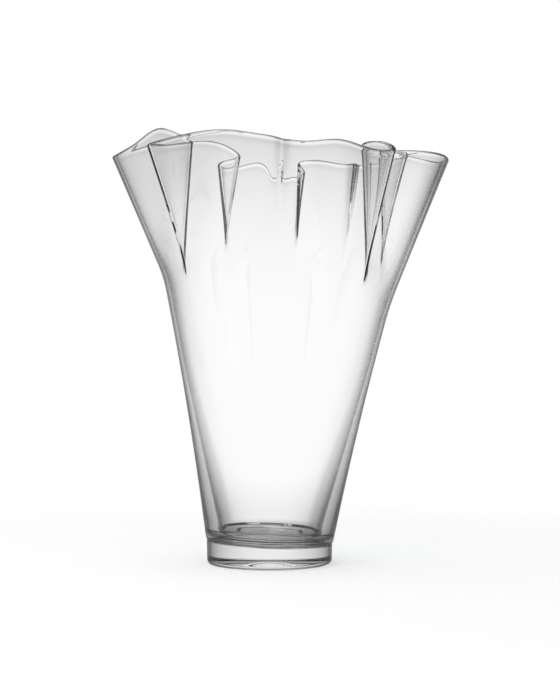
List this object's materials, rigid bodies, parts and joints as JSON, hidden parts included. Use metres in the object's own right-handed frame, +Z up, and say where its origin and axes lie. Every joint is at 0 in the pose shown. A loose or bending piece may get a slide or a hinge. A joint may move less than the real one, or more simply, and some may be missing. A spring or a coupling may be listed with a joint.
{
  "type": "vase",
  "caption": "Free-standing clear glass flower vase: a thick round foot and a flared body whose upper third is folded into broad panels and narrow pleats with a rounded, waved lip",
  "frame": {"origin": "centre of the ring under the foot that the vase rests on", "axes": "+Z up; +X to the right and +Y to the back as seen from the broad front panel; the body leans a little towards +X"},
  "size_m": [0.2362, 0.1991, 0.303],
  "materials": {
    "foot_glass": "clear soda-lime glass, fire-polished, its underside ground and polished",
    "body_glass": "clear blown soda-lime glass with a fire-polished lip"
  },
  "bodies": {
    "root": {"solid_foot": "foot_glass", "blown_body": "body_glass"}
  },
  "joints": []
}
